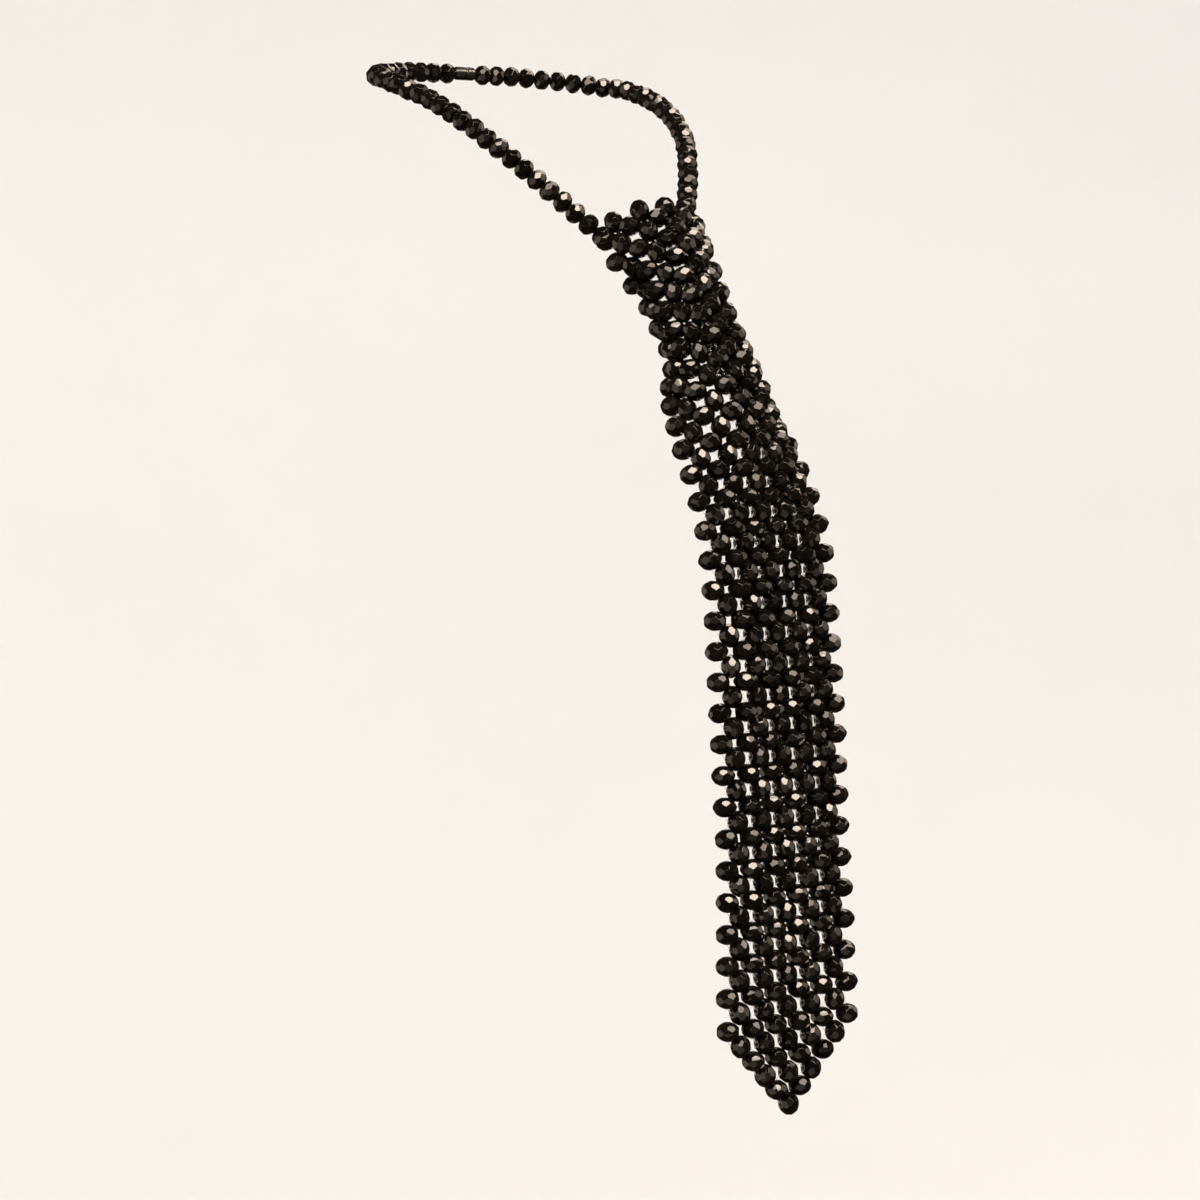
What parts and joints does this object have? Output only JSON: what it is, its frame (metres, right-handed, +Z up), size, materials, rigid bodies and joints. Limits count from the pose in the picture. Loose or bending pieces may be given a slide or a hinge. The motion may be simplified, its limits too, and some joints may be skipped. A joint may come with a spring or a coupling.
{
  "type": "necktie necklace",
  "caption": "Necklace of faceted black glass beads: one strand round the neck holds a curled bead net that hangs like a necktie, with a knot, a blade and a pointed end",
  "frame": {"origin": "the middle of the clasp at the nape, where the strand hangs from the back of the neck", "axes": "+Z up as worn, the tie's face looks along -Y, +X towards the wearer's left; the strand is mirrored about X = 0, and so is the net but for the way its two edge columns fold back"},
  "size_m": [0.1382, 0.2553, 0.4316],
  "materials": {
    "beads": "polished",
    "clasp": "satin"
  },
  "bodies": {
    "root": {"top_edge_left": "beads", "top_edge_middle": "beads", "top_edge_right": "beads", "net_left_01": "beads", "net_right_01": "beads", "net_left_02": "beads", "net_right_02": "beads", "net_left_03": "beads", "net_right_03": "beads", "net_left_04": "beads", "net_right_04": "beads", "net_left_05": "beads", "net_right_05": "beads", "net_left_06": "beads", "net_right_06": "beads", "net_left_07": "beads", "net_right_07": "beads", "net_08": "beads", "net_09": "beads", "net_10": "beads", "net_11": "beads", "net_12": "beads", "net_13": "beads", "net_14": "beads", "net_15": "beads", "point_upper": "beads", "point_lower": "beads", "strand_left_01": "beads", "strand_left_02": "beads", "strand_left_03": "beads", "strand_left_04": "beads", "strand_left_05": "beads", "strand_left_06": "beads", "strand_left_07": "beads", "strand_left_08": "beads", "strand_left_09": "beads", "strand_left_10": "beads", "strand_left_11": "beads", "strand_left_12": "beads", "nape_left_01": "beads", "nape_left_02": "beads", "nape_left_03": "beads", "strand_right_01": "beads", "strand_right_02": "beads", "strand_right_03": "beads", "strand_right_04": "beads", "strand_right_05": "beads", "strand_right_06": "beads", "strand_right_07": "beads", "strand_right_08": "beads", "strand_right_09": "beads", "strand_right_10": "beads", "strand_right_11": "beads", "strand_right_12": "beads", "nape_right_01": "beads", "nape_right_02": "beads", "nape_right_03": "beads", "clasp": "clasp"}
  },
  "joints": []
}
